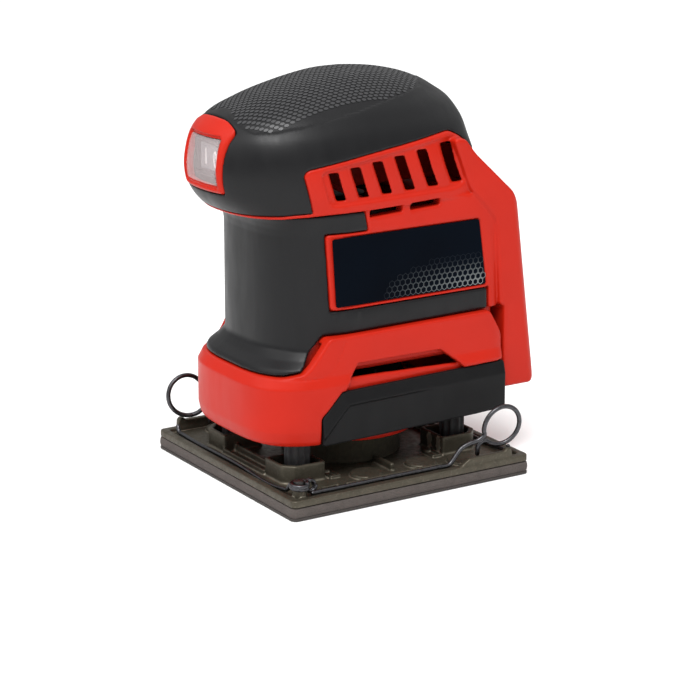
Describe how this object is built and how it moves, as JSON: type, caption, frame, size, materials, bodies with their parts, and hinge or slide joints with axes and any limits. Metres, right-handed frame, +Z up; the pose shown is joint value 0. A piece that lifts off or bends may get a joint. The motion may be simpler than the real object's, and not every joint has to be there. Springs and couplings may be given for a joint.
{
  "type": "orbital sander",
  "caption": "Cordless palm orbital sander: motor grip housing with a battery foot, driving a square clamp plate on four rubber pillars through an eccentric.",
  "frame": {"origin": "centre of the sanding pad's underside, where the tool rests on the work", "axes": "+Z up along the motor and through the grip, -Y to the front with the switch, +Y to the battery foot, +X to the user's right seen from behind"},
  "size_m": [0.11, 0.137, 0.1643],
  "materials": {
    "red_plastic": "satin moulded, bright red",
    "soft_grip": "matt soft grip",
    "black_plastic": "fine grained",
    "label": "printed film, satin",
    "rubber": "matt",
    "clear_cover": "clear flexible cover",
    "grey_plastic": "satin",
    "brass": "bright",
    "red_lead": "insulated wire",
    "black_lead": "insulated wire",
    "steel": "bright",
    "dark_steel": "dark",
    "copper": "wound copper",
    "cast_aluminium": "die cast, satin bronze tone",
    "felt": "dark felt",
    "foam": "dense foam",
    "wire": "dark spring wire"
  },
  "bodies": {
    "housing": {"housing_right": "red_plastic", "housing_left": "red_plastic", "lower_housing": "red_plastic", "frame_plate": "red_plastic", "switch_frame": "red_plastic", "front_grip": "soft_grip", "head_grip": "soft_grip", "side_panel_right": "black_plastic", "side_panel_left": "black_plastic", "label_right": "label", "label_left": "label", "pillar_front_right": "rubber", "pillar_rear_right": "rubber", "pillar_front_left": "rubber", "pillar_rear_left": "rubber", "switch_cover": "clear_cover", "switch_body": "black_plastic", "terminal_block": "black_plastic", "terminal_plus": "brass", "terminal_minus": "brass", "terminal_sense": "brass", "lead_switch": "red_lead", "lead_motor": "red_lead", "lead_return": "black_lead", "motor_can": "steel", "motor_magnet_right": "dark_steel", "motor_magnet_left": "dark_steel", "motor_end_cap": "black_plastic", "brush_right": "dark_steel", "brush_left": "dark_steel", "bearing_upper": "steel", "bearing_lower": "steel", "housing_screw_upper": "steel", "housing_screw_middle": "steel", "housing_screw_lower": "steel", "housing_screw_foot": "steel"},
    "rocker": {"rocker": "grey_plastic"},
    "rotor": {"motor_shaft": "steel", "armature": "copper", "commutator": "copper", "cooling_fan": "black_plastic", "counterweight": "dark_steel", "centre_screw": "steel"},
    "plate": {"base_plate": "cast_aluminium", "plate_bearing": "steel", "seal_ring": "felt", "foam_pad": "foam", "clamp_eyelet_right": "dark_steel", "clamp_eyelet_left": "dark_steel"},
    "clamp_right": {"clamp_wire_right": "wire"},
    "clamp_left": {"clamp_wire_left": "wire"}
  },
  "joints": [
    {"name": "motor_spin", "type": "hinge", "parent": "housing", "child": "rotor", "pos_m": [0, 0.001, 0.02], "axis": [0, 0, 1], "continuous": true},
    {"name": "plate_orbit", "type": "hinge", "parent": "rotor", "child": "plate", "pos_m": [0, 0, 0.012], "axis": [0, 0, 1], "continuous": true},
    {"name": "switch_rock", "type": "hinge", "parent": "housing", "child": "rocker", "pos_m": [0, -0.057, 0.133], "axis": [0, 0, 1], "range_deg": [0, 14]},
    {"name": "clamp_right_lift", "type": "hinge", "parent": "plate", "child": "clamp_right", "pos_m": [0.0498, -0.0442, 0.0084], "axis": [1, 0, 0], "range_deg": [0, 40]},
    {"name": "clamp_left_lift", "type": "hinge", "parent": "plate", "child": "clamp_left", "pos_m": [-0.0498, 0.0442, 0.0084], "axis": [-1, 0, 0], "range_deg": [0, 40]}
  ],
  "couplings": [
    {"joint": "plate_orbit", "follows": "motor_spin", "ratio": -1}
  ]
}
